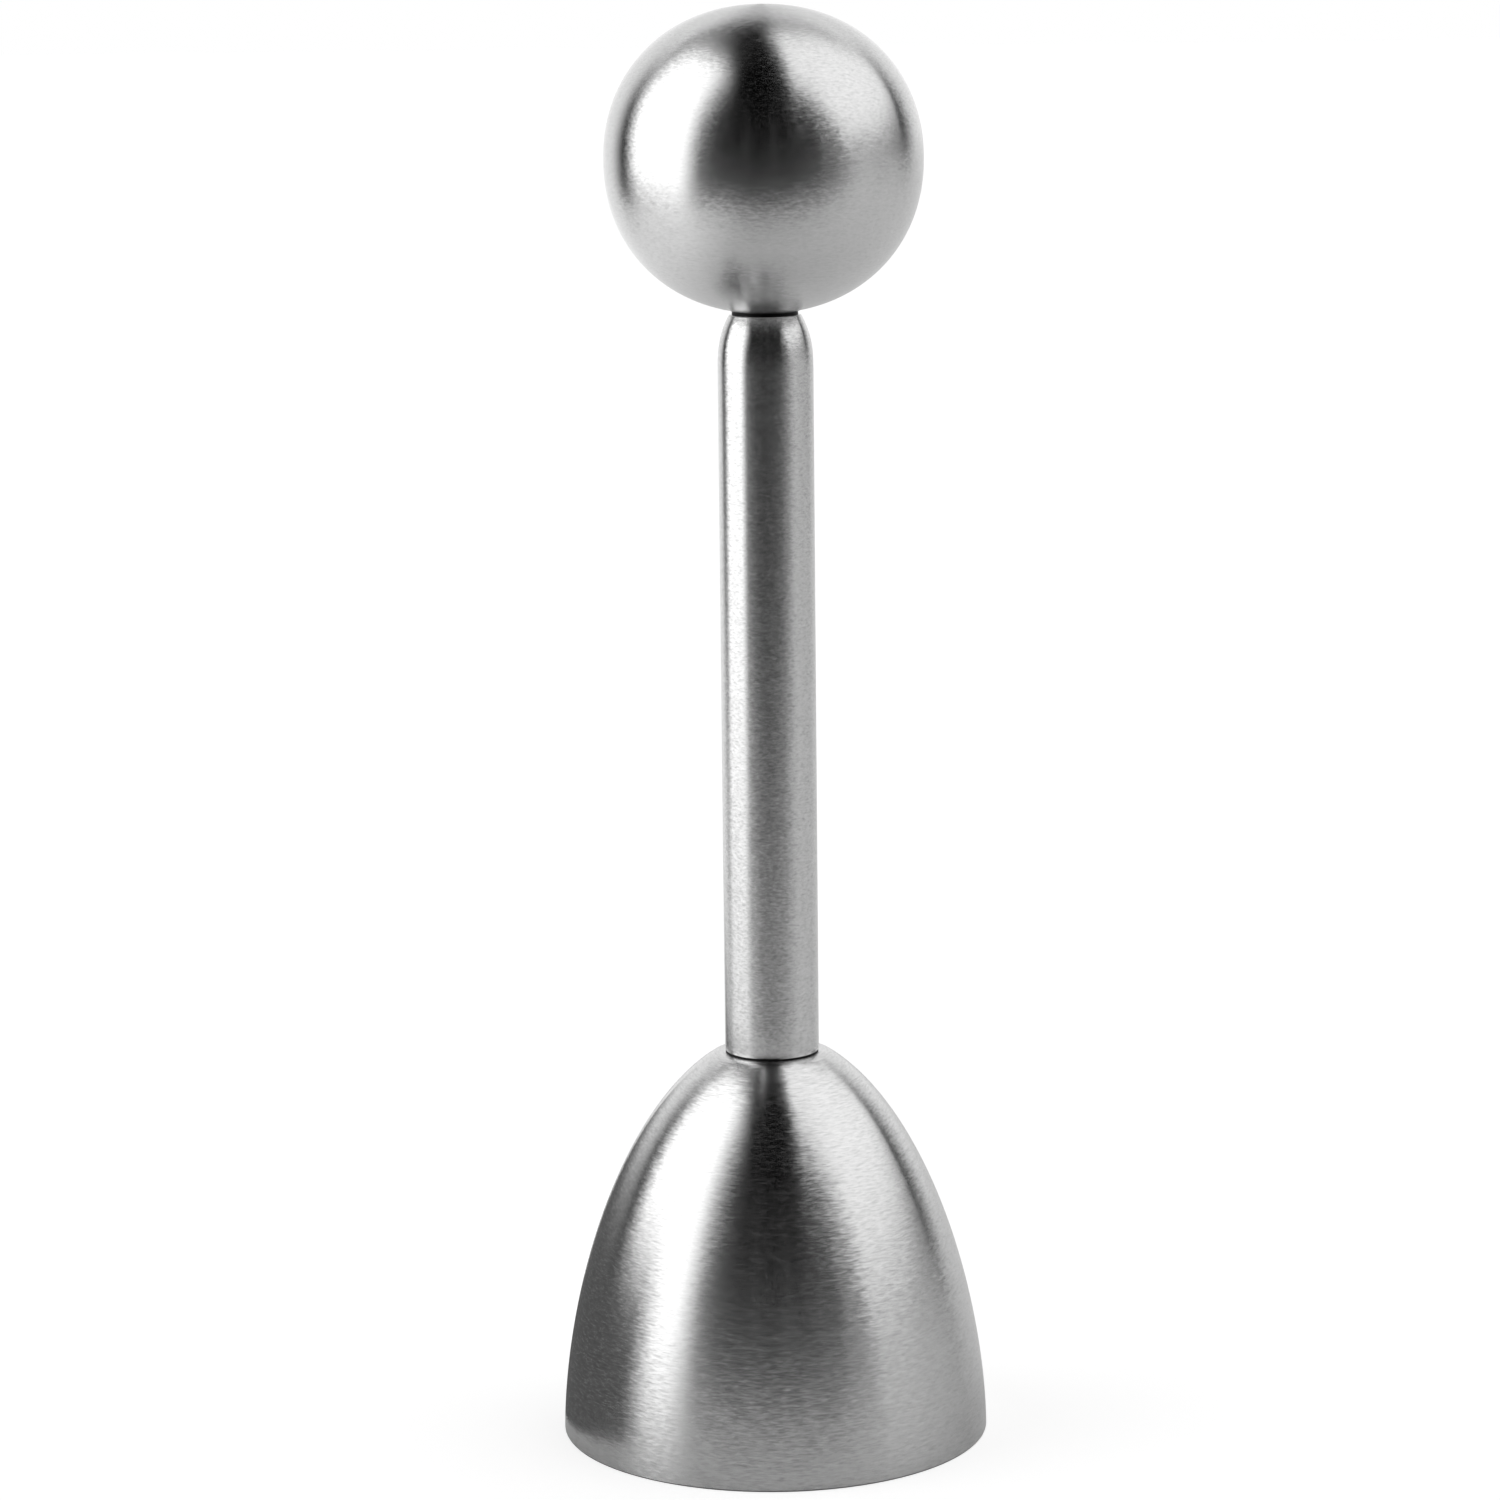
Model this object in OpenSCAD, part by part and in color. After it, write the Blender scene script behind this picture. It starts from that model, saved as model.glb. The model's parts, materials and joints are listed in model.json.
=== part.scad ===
// Egg topper: a steel bell with a tube handle and a sprung ball on a rod.
// The bell sits on the egg. The ball is pulled up against the spring and let go,
// the striker on the rod hits the plug that stands on the bell, and the rim cracks the shell.
// Origin: centre of the rim, on the plane that the rim rests on. +Z runs up the handle.

/* [Bell] */
// Outer diameter of the bell at its rim
bell_d = 39; // [35:0.05:44]
// Height from the rim to the flat that the handle stands on
bell_h = 35.45; // [32:0.05:42]
// Thickness of the drawn wall
bell_wall = 1; // [0.8:0.1:1.2]
// Diameter of the flat on top of the bell, to the middle of its rounded edge
seat_d = 10.25; // [9.8:0.05:11]
// Height over which the flat's edge is rounded
seat_blend = 0.45; // [0.3:0.05:0.6]
// Roundness of the bell's outline across (2 is an ellipse)
bell_round_across = 1.97; // [1.9:0.01:2.3]
// Roundness of the bell's outline upwards (2 is an ellipse)
bell_round_up = 1.735; // [1.6:0.005:1.9]
// Height of the bored land inside the rim, which meets the egg
land_h = 2; // [1.5:0.1:3]
// Edge break on both sides of the rim
rim_break = 0.2; // [0.1:0.05:0.3]

/* [Handle] */
// Outer diameter of the handle tube
tube_d = 8.55; // [8.2:0.05:8.8]
// Wall of the handle tube
tube_wall = 0.8; // [0.7:0.05:0.9]
// Length of the handle tube
tube_l = 66.95; // [60:0.05:80]
// Length of the swaged nose at the top of the tube
nose_h = 5; // [4:0.1:7]
// Outer diameter of the tube's mouth
mouth_d = 6.4; // [6.3:0.1:6.8]
// How late the nose curls in (2 is early, 3 is late)
nose_curl = 2.65; // [2:0.05:3]
// Edge break at both ends of the tube
tube_break = 0.15; // [0.05:0.05:0.25]
// Thickness of the seal ring between tube and bell
seal_t = 0.25; // [0.2:0.05:0.5]

/* [Ball] */
// Diameter of the ball at its equator
ball_d = 28.3; // [24:0.1:32]
// Height of the ball's full outline, pole to pole
ball_h = 27.1; // [23:0.1:31]
// Wall of the two half shells
ball_wall = 1; // [0.8:0.1:1.5]
// Roundness of the ball's outline (2 is an ellipse, more is squarer)
ball_round = 2.12; // [2:0.02:2.3]
// Height of the step that centres one half shell in the other
lap_h = 1; // [0.6:0.1:2]
// Gap between the ball's collar and the tube at rest, which the bush's flange fills
ball_gap = 0.3; // [0.25:0.05:0.6]
// Diameter of the collar under the ball
collar_d = 6.5; // [6.2:0.1:7]
// Visible height of the collar
collar_h = 0.1; // [0.1:0.05:0.5]
// Depth that the insert reaches into the ball
insert_l = 9.5; // [8.5:0.5:12]

/* [Mechanism] */
// Diameter of the pull rod
rod_d = 3; // [2.9:0.05:3.05]
// Diameter of the striker
striker_d = 6.3; // [5.8:0.1:6.3]
// Length of the striker
striker_l = 14; // [12:0.5:18]
// Depth of the rod's thread in the striker
striker_thread = 10; // [7:0.5:11]
// Length of the plug in the foot of the tube
plug_l = 8; // [8:0.5:10]
// Wire of the return spring
wire_d = 0.6; // [0.5:0.05:0.65]
// Outer diameter of the return spring
spring_d = 6; // [5.6:0.1:6.2]
// Turns of the return spring
spring_turns = 20; // [12:1:22]
// Thickness of the two spring washers
washer_t = 0.5; // [0.4:0.1:0.8]
// Length of the guide bush below the tube's nose
bush_skirt = 1.5; // [1:0.1:4]
// Diameter of the bush's flange on the tube's mouth
flange_d = 5.9; // [5.4:0.1:6]
// Height of the lock nut
nut_h = 1.8; // [1.6:0.1:2.4]

/* [Fixing screw] */
// Depth that the screw reaches into the plug
screw_grip = 5.7; // [4.5:0.1:6]
// Height of the screw's head
head_h = 1.65; // [1.5:0.05:2]
// Diameter of the screw's head
head_d = 5.7; // [5.4:0.1:6]
// Thickness of the flat washer under the bell's top
flat_washer_t = 0.5; // [0.4:0.1:0.8]
// Thickness of the split washer
split_washer_t = 0.8; // [0.6:0.1:1]

/* [Hidden] */

// Clearances
slip = 0.02;       // pressed, welded or screwed together, on the radius
running = 0.06;    // the rod in its bush, on the radius
loose = 0.1;       // screw and washers in plain holes, on the radius
seated = 0.05;     // the bush in the tube, the ball's lower shell on its insert
play = 0.02;       // between faces that rest on each other but move apart

// Small features that don't follow the size
chamfer = 0.3;         // on turned parts
washer_break = 0.08;   // on washers
thread_relief = 0.3;   // from the end of a screw to the end of its blind thread
blind_floor = 1.5;     // metal past the ball insert's blind thread
insert_step = 0.4;     // from the insert's body out to its collar
collar_taper = 0.2;    // how much the collar narrows towards the tube
collar_sunk = 0.2;     // how deep the collar sits in the ball's skin
washer_gap = 0.25;     // spring washers in the tube's bore, on the radius
coil_gap = 0.45;       // between the spring's end turns

// M3 hardware
screw_d = 3;
nut_flats = 5.5;
flat_washer_d = 7;
split_washer_d = 6.2;
washer_slit = 0.5;
slit_angle = 20;
socket_flats = 2;
socket_depth = 1.1;
socket_land = 1.6;     // radius of the flat round the socket

// Radii
bell_r = bell_d / 2;
seat_r = seat_d / 2;
land_r = bell_r - bell_wall;
tube_r = tube_d / 2;
bore_r = tube_r - tube_wall;
mouth_r = mouth_d / 2;
rod_r = rod_d / 2;
ball_r = ball_d / 2;
collar_r = collar_d / 2;
insert_r = collar_r - insert_step;
flange_r = flange_d / 2;
screw_r = screw_d / 2;
hole_r = screw_r + loose;
washer_r = bore_r - washer_gap;
coil_r = (spring_d - wire_d) / 2;

// Levels, from the rim up
ceiling_z = bell_h - bell_wall;
head_top_z = ceiling_z - flat_washer_t - split_washer_t;
head_z = head_top_z - head_h;
screw_top_z = bell_h + screw_grip;
tube_z = bell_h + seal_t;
tube_top_z = tube_z + tube_l;
nose_z = tube_top_z - nose_h;
striker_z = bell_h + plug_l + play;
striker_top_z = striker_z + striker_l;
rod_z = striker_top_z - striker_thread + thread_relief;
nut_top_z = striker_top_z + nut_h;
low_washer_z = nut_top_z + play;
spring_z = low_washer_z + washer_t + play;
bush_z = nose_z - bush_skirt;
high_washer_z = bush_z - washer_t;
spring_top_z = high_washer_z;
ball_z = tube_top_z + ball_gap;
skin_z = ball_z + collar_h;      // where the ball's skin meets its collar
collar_top_z = skin_z + collar_sunk;
equator_z = skin_z + ball_h / 2 * pow(1 - pow(collar_r / ball_r, ball_round), 1 / ball_round);
insert_top_z = ball_z + insert_l;
insert_thread_z = insert_top_z - blind_floor;
rod_top_z = insert_thread_z - thread_relief;

facets = 128;        // around the axis
small_facets = 64;   // around holes and screws
bell_steps = 48;     // along the bell's outline
ball_steps = 64;     // along the ball's outline, pole to pole
nose_steps = 16;     // along the nose
eps = 0.01;          // how far a cut runs past the face it opens

steel = "#c4c6c9";
bright_steel = "#b4b7bb";
spring_steel = "#9aa0a6";
black = "#151515";

// ---- Outlines ----

function flipped(list) = [for (i = [len(list) - 1 : -1 : 0]) list[i]];

// The lower of two heights, with a smooth change between them
function soft_min(a, b, blend) =
    let (near = max(0, blend - abs(a - b)) / blend)
    min(a, b) - pow(near, 3) * blend / 6;

// The bell's outline is a quarter of a superellipse, upright at the rim and pressed flat at the seat.
function bell_turn(r) = acos(pow(r / bell_r, bell_round_across / 2));
bell_apex = bell_h / pow(sin(bell_turn(seat_r)), 2 / bell_round_up);

function bell_point(turn) = [
    bell_r * pow(cos(turn), 2 / bell_round_across),
    bell_apex * pow(sin(turn), 2 / bell_round_up),
];

// Outward direction of the bell's surface at a point of its outline
function bell_normal(p) =
    let (n = [
        bell_round_across * pow(p[0] / bell_r, bell_round_across - 1) / bell_r,
        bell_round_up * pow(p[1] / bell_apex, bell_round_up - 1) / bell_apex,
    ])
    n / norm(n);

bell_outside = [for (i = [1 : bell_steps])
    let (p = bell_point(bell_turn(tube_r) * i / bell_steps))
    [p[0], soft_min(p[1], bell_h, seat_blend)]];
bell_inside = [for (i = [0 : bell_steps])
    let (p = bell_point(bell_turn(seat_r) * i / bell_steps))
    p - bell_wall * bell_normal(p)];

// The ball's outline is half of a slightly square ellipse, from its lower pole to its upper one.
function oval(r, h, roundness) = [for (i = [0 : ball_steps])
    let (turn = -90 + 180 * i / ball_steps, s = sin(turn))
    [r * pow(max(0, cos(turn)), 2 / roundness), h / 2 * sign(s) * pow(abs(s), 2 / roundness)]];

// Radius of the swaged nose at a height, for a surface whose radius is r below the nose
function nose_radius(r, z) = r - (tube_r - mouth_r) * pow((z - nose_z) / nose_h, nose_curl);

function nose_outline(r, top_z) = [for (i = [0 : nose_steps])
    let (z = nose_z + (top_z - nose_z) * i / nose_steps)
    [nose_radius(r, z), z]];

// A turned ring, or a disc where inner_r is 0, with both outer edges broken
module ring(inner_r, outer_r, z, h, edge) {
    rotate_extrude($fn = facets)
        polygon([
            [inner_r, z], [outer_r - edge, z], [outer_r, z + edge],
            [outer_r, z + h - edge], [outer_r - edge, z + h], [inner_r, z + h],
        ]);
}

// ---- Bell ----

module bell_section() {
    difference() {
        polygon(concat([[0, 0], [bell_r - rim_break, 0], [bell_r, rim_break]], bell_outside, [[0, bell_h]]));
        intersection() {
            polygon(concat([[0, 0]], bell_inside, [[0, bell_apex]]));
            square([bell_d, ceiling_z]);
        }
        square([land_r, land_h]);
        polygon([[0, -eps], [land_r + rim_break + eps, -eps], [land_r, rim_break], [0, rim_break]]);
        square([hole_r, bell_h + eps]);
    }
}

module bell_cup() {
    color(steel) rotate_extrude($fn = facets) bell_section();
}

// ---- Handle ----

module seal_ring() {
    color(black) rotate_extrude($fn = facets)
        translate([bore_r + slip, bell_h])
            square([tube_wall - slip - seated, seal_t]);
}

module handle_tube() {
    color(steel) rotate_extrude($fn = facets)
        polygon(concat(
            [[bore_r, tube_z], [tube_r - tube_break, tube_z], [tube_r, tube_z + tube_break]],
            nose_outline(tube_r, tube_top_z - tube_break),
            [[mouth_r - tube_break, tube_top_z]],
            flipped(nose_outline(bore_r, tube_top_z))
        ));
}

// The anvil: pressed into the tube's foot, it stands on the bell and takes the blow.
module end_plug() {
    color(bright_steel) difference() {
        ring(0, bore_r - slip, bell_h, plug_l, chamfer);
        translate([0, 0, bell_h - eps])
            cylinder(r = screw_r + slip, h = screw_grip + thread_relief + eps, $fn = small_facets);
    }
}

// ---- Fixing screw and its washers, under the bell's top ----

module base_washer() {
    color(bright_steel)
        ring(hole_r, flat_washer_d / 2, ceiling_z - flat_washer_t, flat_washer_t, washer_break);
}

module split_washer() {
    slit_l = split_washer_d / 2 + eps;
    color(bright_steel) difference() {
        ring(hole_r, split_washer_d / 2, head_top_z, split_washer_t, washer_break);
        translate([0, 0, head_top_z + split_washer_t / 2])
            rotate([slit_angle, 0, 0])
                translate([0, -washer_slit / 2, -split_washer_t])
                    cube([slit_l, washer_slit, 2 * split_washer_t]);
    }
}

// Button head screw. Its dome is a slice of a sphere through the head's widest edge
// and the flat round the socket.
module base_screw() {
    head_r = head_d / 2;
    dome_z = (head_r * head_r - socket_land * socket_land - head_h * head_h) / (2 * head_h);
    dome_r = norm([head_r, dome_z]);
    color(bright_steel) difference() {
        union() {
            intersection() {
                translate([0, 0, head_top_z + dome_z]) sphere(r = dome_r, $fn = facets);
                translate([0, 0, head_z]) cylinder(r = dome_r, h = head_h, $fn = facets);
            }
            ring(0, screw_r, head_top_z - eps, screw_top_z - head_top_z + eps, chamfer);
        }
        translate([0, 0, head_z - eps])
            cylinder(d = socket_flats / cos(30), h = socket_depth + eps, $fn = 6);
    }
}

// ---- Mechanism inside the tube ----

// Black bush that guides the rod. The tube's nose is swaged in over it, and its flange lies on
// the tube's mouth, where the ball comes down on it.
module guide_bush() {
    low_z = tube_top_z + play;
    high_z = ball_z - play;
    color(black) rotate_extrude($fn = facets)
        polygon(concat(
            [[rod_r + running, bush_z], [bore_r - seated, bush_z]],
            nose_outline(bore_r - seated, low_z),
            [[flange_r, low_z], [flange_r, high_z], [rod_r + running, high_z]]
        ));
}

module upper_spring_washer() {
    color(bright_steel) ring(rod_r + loose, washer_r, high_washer_z, washer_t, washer_break);
}

module lower_spring_washer() {
    color(bright_steel) ring(rod_r + loose, washer_r, low_washer_z, washer_t, washer_break);
}

// The spring's wire follows one helix, with its first and last turn closed up.
end_pitch = wire_d + coil_gap;
spring_rise = spring_top_z - spring_z - wire_d;
mid_pitch = (spring_rise - 2 * end_pitch) / (spring_turns - 2);
turn_rings = 12;
wire_sides = 6;
spring_rings = spring_turns * turn_rings;

function spring_height(turn) =
    turn < 1 ? end_pitch * turn
    : turn > spring_turns - 1 ? spring_rise - end_pitch * (spring_turns - turn)
    : end_pitch + mid_pitch * (turn - 1);

function spring_out(i) = [cos(360 * i / turn_rings), sin(360 * i / turn_rings), 0];

function spring_centre(i) =
    coil_r * spring_out(i) + [0, 0, spring_z + wire_d / 2 + spring_height(i / turn_rings)];

function spring_ring(i) = [for (k = [0 : wire_sides - 1])
    let (a = 360 * k / wire_sides + 90)
    spring_centre(i) + wire_d / 2 * (cos(a) * spring_out(i) + sin(a) * [0, 0, 1])];

module return_spring() {
    last = spring_rings * wire_sides;
    points = [for (i = [0 : spring_rings]) each spring_ring(i)];
    sides = [for (i = [0 : spring_rings - 1], k = [0 : wire_sides - 1])
        let (a = i * wire_sides + k, b = i * wire_sides + (k + 1) % wire_sides)
        each [[a, a + wire_sides, b + wire_sides], [a, b + wire_sides, b]]];
    foot = [for (k = [1 : wire_sides - 2]) [0, k, k + 1]];
    head = [for (k = [1 : wire_sides - 2]) [last, last + k + 1, last + k]];
    color(spring_steel) polyhedron(points = points, faces = concat(sides, foot, head));
}

// Least gap between one turn of the spring and the next
echo(spring_gap = min([for (i = [0 : spring_rings - turn_rings], j = [-2 : 2])
    if (i + turn_rings + j <= spring_rings)
        norm(spring_centre(i + turn_rings + j) - spring_centre(i))]) - wire_d);

module lock_nut() {
    color(bright_steel) difference() {
        translate([0, 0, striker_top_z]) cylinder(d = nut_flats / cos(30), h = nut_h, $fn = 6);
        translate([0, 0, striker_top_z - eps])
            cylinder(r = rod_r + slip, h = nut_h + 2 * eps, $fn = small_facets);
    }
}

module striker() {
    color(bright_steel) difference() {
        ring(0, striker_d / 2, striker_z, striker_l, chamfer);
        translate([0, 0, striker_top_z - striker_thread])
            cylinder(r = rod_r + slip, h = striker_thread + eps, $fn = small_facets);
    }
}

module pull_rod() {
    color(bright_steel) ring(0, rod_r, rod_z, rod_top_z - rod_z, chamfer);
}

// ---- Ball ----

// Threaded insert, welded into the lower shell. Its collar is the small neck under the ball.
module ball_insert() {
    color(bright_steel) rotate_extrude($fn = facets)
        polygon([
            [rod_r + slip, ball_z], [collar_r - collar_taper, ball_z], [collar_r, skin_z],
            [collar_r, collar_top_z], [insert_r, collar_top_z], [insert_r, insert_top_z],
            [0, insert_top_z], [0, insert_thread_z], [rod_r + slip, insert_thread_z],
        ]);
}

module ball_section() {
    translate([0, equator_z]) difference() {
        polygon(oval(ball_r, ball_h, ball_round));
        polygon(oval(ball_r - ball_wall, ball_h - 2 * ball_wall, ball_round));
    }
}

// The lower shell carries half of its wall up past the equator, and the upper shell is cut back to match.
module lap_section(clearance) {
    translate([0, equator_z - eps]) square([ball_r - ball_wall / 2 - clearance, lap_h + eps]);
}

module ball_lower_shell() {
    color(steel) rotate_extrude($fn = facets) difference() {
        intersection() {
            ball_section();
            union() {
                square([ball_d, equator_z]);
                lap_section(slip);
            }
        }
        square([insert_r + seated, equator_z]);
        square([collar_r + seated, collar_top_z]);
    }
}

module ball_upper_shell() {
    color(steel) rotate_extrude($fn = facets) difference() {
        ball_section();
        square([ball_d, equator_z]);
        lap_section(0);
    }
}

bell_cup();
seal_ring();
handle_tube();
end_plug();
base_washer();
split_washer();
base_screw();
guide_bush();
upper_spring_washer();
return_spring();
lower_spring_washer();
lock_nut();
striker();
pull_rod();
ball_insert();
ball_lower_shell();
ball_upper_shell();
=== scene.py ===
"""Egg topper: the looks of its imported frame. Metres, +Z up the handle, -Y towards the camera."""
import json
import math

import bmesh
import bpy
from mathutils import Matrix, Vector


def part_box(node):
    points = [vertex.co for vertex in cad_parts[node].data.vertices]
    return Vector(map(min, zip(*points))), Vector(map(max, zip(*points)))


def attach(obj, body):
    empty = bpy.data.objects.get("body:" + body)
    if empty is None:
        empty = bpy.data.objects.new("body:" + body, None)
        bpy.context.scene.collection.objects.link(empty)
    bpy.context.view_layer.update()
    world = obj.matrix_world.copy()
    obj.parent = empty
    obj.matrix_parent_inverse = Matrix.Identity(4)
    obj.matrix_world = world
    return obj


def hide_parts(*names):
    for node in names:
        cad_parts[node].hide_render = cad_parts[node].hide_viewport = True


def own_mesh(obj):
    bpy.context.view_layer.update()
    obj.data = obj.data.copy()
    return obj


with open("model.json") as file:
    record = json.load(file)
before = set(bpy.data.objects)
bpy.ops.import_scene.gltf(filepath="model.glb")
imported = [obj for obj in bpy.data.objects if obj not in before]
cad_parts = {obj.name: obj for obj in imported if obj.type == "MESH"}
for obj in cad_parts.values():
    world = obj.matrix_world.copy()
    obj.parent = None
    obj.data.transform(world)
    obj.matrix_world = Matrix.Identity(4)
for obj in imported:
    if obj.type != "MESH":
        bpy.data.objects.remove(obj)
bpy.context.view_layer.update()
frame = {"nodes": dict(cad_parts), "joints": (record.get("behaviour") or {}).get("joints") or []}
MM = 0.001


# ---------------------------------------------------------------------------------------------
# The bell sits on the egg. It is drawn from 1 mm stainless sheet to a slim dome, bored and
# deburred at the rim, pierced at the top for the fixing screw, and brushed on a lathe with a
# fine belt, so that the marks run round its axis. The inside keeps a duller satin.

BELL_ACROSS = 1.97       # roundness of the dome's outline, where 2 is an ellipse
BELL_UP = 1.735
BELL_WALL = 1.0 * MM
BELL_SEAT = 5.125 * MM   # radius of the flat that the handle stands on, to its rounded edge
BELL_FLAT = 4.2 * MM     # inside this radius the flat is quite flat
SEAT_BLEND = 0.45 * MM   # height over which the flat's edge is rounded
BELL_HOLE = 1.6 * MM
BELL_LAND = 2.0 * MM     # height of the bored land inside the rim
RIM_EDGE = 0.14 * MM     # radius of the rim's broken edges
EDGE_ROWS = 5            # faces across one of them
DOME_ROWS = 160
JOINED = 0.0005 * MM     # points closer than this are one

MARK_DETAIL = 1.5        # the noise that the marks are made of
MARK_BREAKUP = 0.6
MARK_SPREAD = 0.1        # how far that noise commonly strays from its middle
MARK_RADIUS = 20 * MM    # distance from the axis that sideways is given for
FINE_SEED = 3.1
CROSSING_SEED = 17.7
BROAD_SEED = 41.3
BROAD_LENGTH = 2.5       # the broad marks beside the fine ones: length, width and strength
BROAD_WIDTH = 2
BROAD_SHARE = 0.4
CROSSING_GLOSS = 0.1     # how much the crossing marks change the gloss
PATCH_SCALE = 90
PATCH_DETAIL = 3


class Quantity:
    """A number inside a node tree. Arithmetic on it adds Math nodes to the tree."""

    def __init__(self, tree, socket):
        self.tree = tree
        self.socket = socket

    def __add__(self, other):
        return calculate(self.tree, "ADD", self, other)

    def __sub__(self, other):
        return calculate(self.tree, "SUBTRACT", self, other)

    def __rsub__(self, other):
        return calculate(self.tree, "SUBTRACT", other, self)

    def __mul__(self, other):
        return calculate(self.tree, "MULTIPLY", self, other)

    def __truediv__(self, other):
        return calculate(self.tree, "DIVIDE", self, other)

    def __rtruediv__(self, other):
        return calculate(self.tree, "DIVIDE", other, self)

    def __pow__(self, other):
        return calculate(self.tree, "POWER", self, other)

    def cos(self):
        return calculate(self.tree, "COSINE", self)

    def sin(self):
        return calculate(self.tree, "SINE", self)

    def at_most(self, other):
        return calculate(self.tree, "MINIMUM", self, other)

    def at_least(self, other):
        return calculate(self.tree, "MAXIMUM", self, other)

    def above(self, other):
        return calculate(self.tree, "GREATER_THAN", self, other)


def calculate(tree, operation, *values):
    """One Math node, as a quantity. The values are quantities or plain numbers."""
    node = tree.nodes.new("ShaderNodeMath")
    node.operation = operation
    for slot, value in zip(node.inputs, values):
        if isinstance(value, Quantity):
            tree.links.new(value.socket, slot)
        else:
            slot.default_value = value
    return Quantity(tree, node.outputs[0])


def geometry_tree(name, *sizes):
    """A geometry tree with a named input for each size. Returns it and its inputs as quantities."""
    tree = bpy.data.node_groups.new(name, "GeometryNodeTree")
    tree.interface.new_socket(name="Geometry", in_out="OUTPUT", socket_type="NodeSocketGeometry")
    for size in sizes:
        tree.interface.new_socket(name=size, in_out="INPUT", socket_type="NodeSocketFloat")
    entry = tree.nodes.new("NodeGroupInput")
    return tree, {size: Quantity(tree, entry.outputs[size]) for size in sizes}


def turned(tree, law, along=1, around=256, mark=None):
    """A skin turned round Z. law(v, turn) gives its radius and height, where v runs from 0 to 1
    along the skin and turn goes round it. mark names the skin for a material of its own."""
    grid = tree.nodes.new("GeometryNodeMeshGrid")
    grid.inputs["Size X"].default_value = 1
    grid.inputs["Size Y"].default_value = 1
    grid.inputs["Vertices X"].default_value = around + 1
    grid.inputs["Vertices Y"].default_value = along + 1
    place = tree.nodes.new("ShaderNodeSeparateXYZ")
    tree.links.new(tree.nodes.new("GeometryNodeInputPosition").outputs[0], place.inputs[0])
    turn = Quantity(tree, place.outputs["X"]) * (2 * math.pi)
    radius, height = law(Quantity(tree, place.outputs["Y"]) + 0.5, turn)
    point = tree.nodes.new("ShaderNodeCombineXYZ")
    for slot, value in zip(point.inputs, (radius * turn.cos(), radius * turn.sin(), height)):
        tree.links.new(value.socket, slot)
    move = tree.nodes.new("GeometryNodeSetPosition")
    tree.links.new(grid.outputs["Mesh"], move.inputs["Geometry"])
    tree.links.new(point.outputs[0], move.inputs["Position"])
    if not mark:
        return move.outputs["Geometry"]
    label = tree.nodes.new("GeometryNodeStoreNamedAttribute")
    label.data_type = "BOOLEAN"
    label.domain = "FACE"
    label.inputs["Name"].default_value = mark
    label.inputs["Value"].default_value = True
    tree.links.new(move.outputs["Geometry"], label.inputs["Geometry"])
    return label.outputs["Geometry"]


def finish_tree(tree, skins, material, marked=None):
    """Joins the skins, merges them where they meet, and sets the material. marked gives the
    material of each skin that has a mark."""
    join = tree.nodes.new("GeometryNodeJoinGeometry")
    for skin in skins:
        tree.links.new(skin, join.inputs[0])
    merge = tree.nodes.new("GeometryNodeMergeByDistance")
    merge.inputs["Distance"].default_value = JOINED
    smooth = tree.nodes.new("GeometryNodeSetShadeSmooth")
    real = tree.nodes.new("GeometryNodeRealizeInstances")
    chain = [merge, smooth, real]
    for mark, finish in [(None, material), *(marked or {}).items()]:
        paint = tree.nodes.new("GeometryNodeSetMaterial")
        paint.inputs["Material"].default_value = finish
        if mark:
            choose = tree.nodes.new("GeometryNodeInputNamedAttribute")
            choose.data_type = "BOOLEAN"
            choose.inputs["Name"].default_value = mark
            tree.links.new(choose.outputs["Attribute"], paint.inputs["Selection"])
        chain.append(paint)
    last = join.outputs[0]
    for node in chain:
        tree.links.new(last, node.inputs["Geometry"])
        last = node.outputs[0]
    tree.links.new(last, tree.nodes.new("NodeGroupOutput").inputs[0])


def grow(name, tree, sizes, sharp=30):
    """Runs a tree with these sizes and returns a plain mesh object, creased at its sharp edges."""
    seed = bpy.data.objects.new(name + "_seed", bpy.data.meshes.new(name + "_seed"))
    bpy.context.collection.objects.link(seed)
    modifier = seed.modifiers.new("grow", "NODES")
    modifier.node_group = tree
    for socket in tree.interface.items_tree:
        if socket.in_out == "INPUT":
            modifier[socket.identifier] = sizes[socket.name]
    evaluated = seed.evaluated_get(bpy.context.evaluated_depsgraph_get())
    mesh = bpy.data.meshes.new_from_object(evaluated)
    bpy.data.objects.remove(seed)
    mesh.name = name
    form = bmesh.new()
    form.from_mesh(mesh)
    bmesh.ops.remove_doubles(form, verts=form.verts, dist=JOINED)
    bmesh.ops.recalc_face_normals(form, faces=form.faces)
    for edge in form.edges:
        edge.smooth = edge.is_manifold and edge.calc_face_angle() < math.radians(sharp)
    form.to_mesh(mesh)
    form.free()
    piece = bpy.data.objects.new(name, mesh)
    bpy.context.collection.objects.link(piece)
    return piece


def join_frame(piece, body, slot, *nodes):
    """The piece stands for these CAD nodes and moves with their body."""
    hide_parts(*nodes)
    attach(piece, body)


def vector(tree, operation, *values):
    """One Vector Math node, as its output socket. The values are sockets, vectors or numbers."""
    node = tree.nodes.new("ShaderNodeVectorMath")
    node.operation = operation
    slots = [slot for slot in node.inputs if slot.enabled]
    for slot, value in zip(slots, values):
        if isinstance(value, Quantity):
            tree.links.new(value.socket, slot)
        elif isinstance(value, bpy.types.NodeSocket):
            tree.links.new(value, slot)
        else:
            slot.default_value = value
    return node.outputs["Value" if operation in ("LENGTH", "DOT_PRODUCT") else "Vector"]


def from_axis(tree, place):
    """Distance of a place from Z."""
    return Quantity(tree, vector(tree, "LENGTH", vector(tree, "MULTIPLY", place, (1, 1, 0))))


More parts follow.
